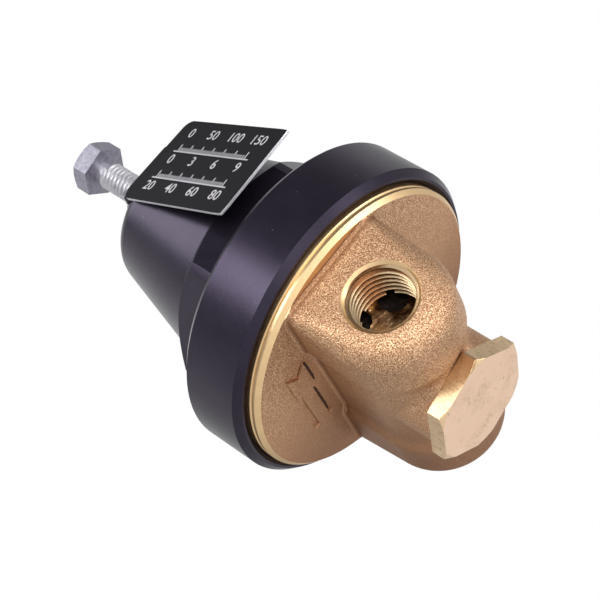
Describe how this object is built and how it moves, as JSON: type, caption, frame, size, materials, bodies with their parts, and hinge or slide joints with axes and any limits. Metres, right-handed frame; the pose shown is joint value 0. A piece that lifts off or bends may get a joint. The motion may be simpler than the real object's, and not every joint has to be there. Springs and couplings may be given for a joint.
{
  "type": "pressure regulator",
  "caption": "Direct-acting pressure regulator: cast body with in-line threaded ports, hexagon bottom plug, screwed-on spring bonnet, bent label plate and adjusting screw with lock nut.",
  "frame": {"origin": "centre of the inlet port, where its full thread starts just inside the chamfered mouth", "axes": "+X out of the inlet port along the port axis, +Z along the valve axis towards the adjusting screw; the flow runs towards -X"},
  "size_m": [0.0633, 0.0632, 0.1032],
  "materials": {
    "cast_bronze": "as cast, fine sand texture, machined rim",
    "plug_brass": "machined",
    "fibre": "pressed fibre",
    "steel": "turned",
    "spring_steel": "oil tempered",
    "seat_rubber": "moulded",
    "diaphragm_rubber": "fabric reinforced",
    "black_anodised": "black anodised, satin",
    "black_label": "black enamel on sheet",
    "zinc_steel": "zinc plated"
  },
  "bodies": {
    "regulator": {"body": "cast_bronze", "bottom_plug": "plug_brass", "plug_gasket": "fibre", "inlet_screen": "steel", "seat_cylinder": "plug_brass", "cylinder_gasket": "fibre", "piston_spring": "spring_steel", "diaphragm_gasket": "fibre", "diaphragm": "diaphragm_rubber", "slip_ring": "steel", "bonnet": "black_anodised", "label_plate": "black_label", "range_spring": "spring_steel"},
    "valve_stack": {"pusher_post": "steel", "diaphragm_washer": "plug_brass", "pressure_plate": "steel", "diaphragm_nut": "steel", "piston": "plug_brass", "seat_disc": "seat_rubber", "seat_disc_screw": "steel"},
    "button": {"spring_button": "steel"},
    "screw": {"adjusting_screw": "zinc_steel"},
    "washer": {"lock_washer": "zinc_steel"},
    "nut": {"lock_nut": "zinc_steel"}
  },
  "joints": [
    {"name": "valve_lift", "type": "slide", "parent": "regulator", "child": "valve_stack", "axis": [0, 0, 1], "range_m": [-0.0012, 0], "stiffness_N_per_m": 800, "springref_m": 0.003, "deforming": ["diaphragm", "piston_spring", "range_spring"]},
    {"name": "button_slide", "type": "slide", "parent": "regulator", "child": "button", "axis": [0, 0, 1], "range_m": [-0.006, 0.003], "deforming": ["range_spring"]},
    {"name": "screw_turn", "type": "hinge", "parent": "button", "child": "screw", "pos_m": [-0.02505, 0, 0.07], "axis": [0, 0, 1], "range_deg": [-2165, 1085]},
    {"name": "washer_slide", "type": "slide", "parent": "regulator", "child": "washer", "axis": [0, 0, 1], "range_m": [0, 0.001]},
    {"name": "nut_turn", "type": "hinge", "parent": "washer", "child": "nut", "pos_m": [-0.02505, 0, 0.069], "axis": [0, 0, 1], "range_deg": [-5, 365]}
  ],
  "couplings": [
    {"joint": "screw_turn", "follows": "button_slide", "rad_per_m": 6283.2},
    {"joint": "nut_turn", "follows": "washer_slide", "rad_per_m": 6283.2}
  ]
}
